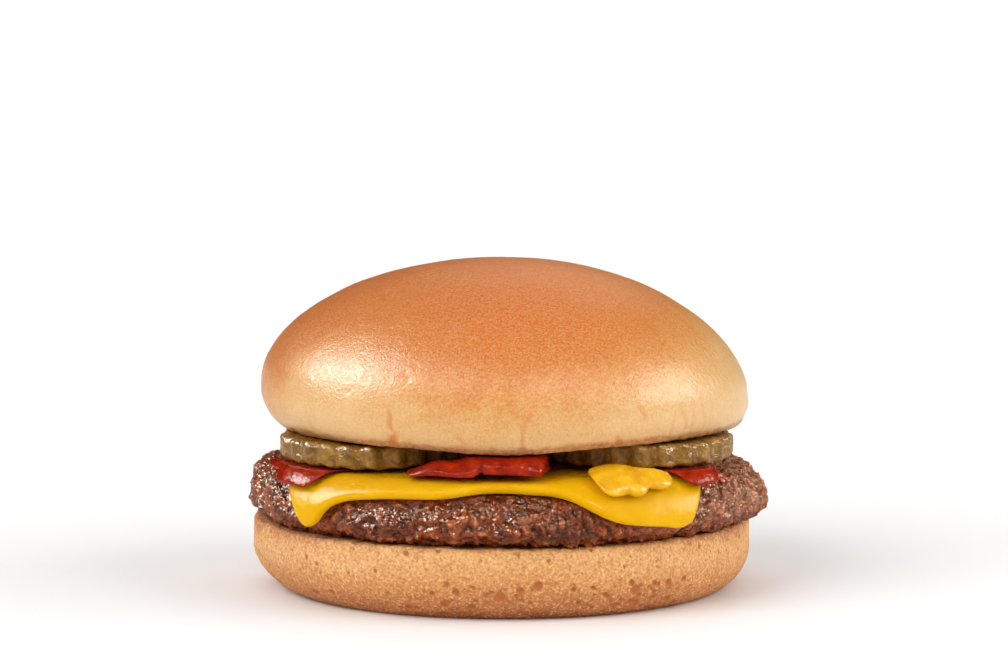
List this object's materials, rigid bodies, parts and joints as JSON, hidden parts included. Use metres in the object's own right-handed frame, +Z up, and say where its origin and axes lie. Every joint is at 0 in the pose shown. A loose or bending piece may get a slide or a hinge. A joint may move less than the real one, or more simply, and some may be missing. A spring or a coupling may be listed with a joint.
{
  "type": "cheeseburger",
  "caption": "Cheeseburger in a round bun: heel, ground beef patty, melted cheese slice, ketchup, mustard, ribbed pickle slices and a domed crown, standing on its flat heel.",
  "frame": {"origin": "middle of the heel's flat foot, on the surface that the burger stands on", "axes": "+Z up through the crown; -Y is the front, where the mustard and the largest lobe of ketchup show; +X is the right-hand side seen from the front"},
  "size_m": [0.1052, 0.1048, 0.0664],
  "materials": {
    "heel_bun": "matte bread with a fine porous crumb, browner towards its foot",
    "beef_patty": "seared ground beef, crumbly and wet with fat",
    "cheese": "smooth, softly glossy melted processed cheese",
    "ketchup": "thick glossy sauce",
    "mustard": "thick glossy sauce",
    "pickle": "wet olive green skin and flesh",
    "crown_bun": "baked satin crust, deep golden at the top and pale at the lower edge"
  },
  "bodies": {
    "root": {"heel": "heel_bun", "patty": "beef_patty", "cheese": "cheese", "ketchup": "ketchup", "mustard": "mustard", "pickle_front_left": "pickle", "pickle_front_right": "pickle", "pickle_back_left": "pickle", "pickle_back_right": "pickle", "crown": "crown_bun"}
  },
  "joints": []
}
